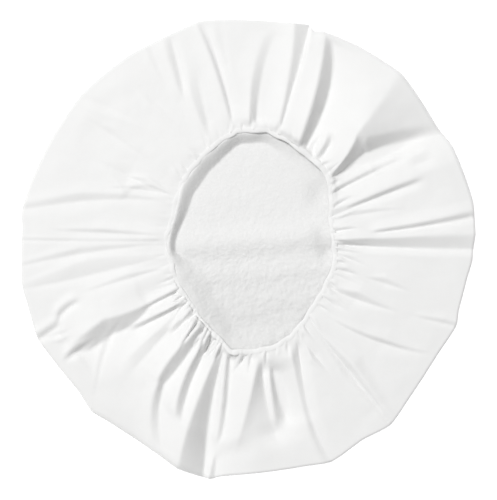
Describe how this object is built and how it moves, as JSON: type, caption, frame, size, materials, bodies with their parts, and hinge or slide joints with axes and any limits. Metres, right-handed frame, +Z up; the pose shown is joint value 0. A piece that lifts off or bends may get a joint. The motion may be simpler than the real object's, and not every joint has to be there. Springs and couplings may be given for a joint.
{
  "type": "rinse-free shampoo cap",
  "caption": "Disposable rinse-free shampoo cap of white non-woven, with an elastic gathered mouth and an absorbent fleece inside, lying on its crown with the mouth upwards.",
  "frame": {"origin": "on the surface the cap lies on, under the middle of its outline", "axes": "+Z up out of the mouth, +Y towards the mouth's broad end, +X to the right of that as seen from above"},
  "size_m": [0.2902, 0.294, 0.0262],
  "materials": {
    "cover": "white film-faced non-woven, softly satin",
    "hem": "white rolled non-woven hem, matt",
    "fleece": "off-white needled fleece, matt"
  },
  "bodies": {
    "root": {"cap_cover": "cover", "elastic_hem": "hem", "fleece_liner": "fleece"}
  },
  "joints": []
}
